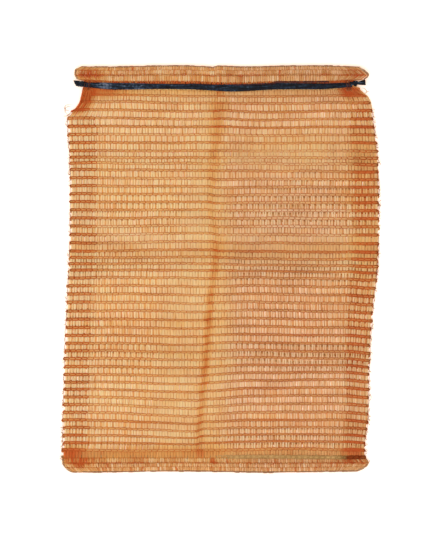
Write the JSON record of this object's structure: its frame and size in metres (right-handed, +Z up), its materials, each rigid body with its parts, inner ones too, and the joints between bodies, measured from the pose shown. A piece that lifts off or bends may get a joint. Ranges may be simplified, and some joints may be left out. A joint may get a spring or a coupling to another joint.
{
  "type": "mesh sack",
  "caption": "Empty knitted net sack for produce, lying flat, with a folded hem, a dark flat drawstring knotted at both sides and a cord in the bottom fold.",
  "frame": {"origin": "on the floor under the middle of the sack's bounding box", "axes": "+Y towards the mouth of the sack, +X across it to the right as the shown side is seen, +Z up out of the shown side"},
  "size_m": [0.4683, 0.6, 0.0082],
  "materials": {
    "net": "knitted translucent orange polyethylene tape",
    "drawstring": "dark navy woven plastic tape, pleated lengthwise",
    "cord": "olive chain-stitched closing cord"
  },
  "bodies": {
    "root": {"net_sack": "net", "drawstring_front": "drawstring", "drawstring_back": "drawstring", "knot_left": "drawstring", "knot_right": "drawstring", "bottom_cord": "cord"}
  },
  "joints": []
}
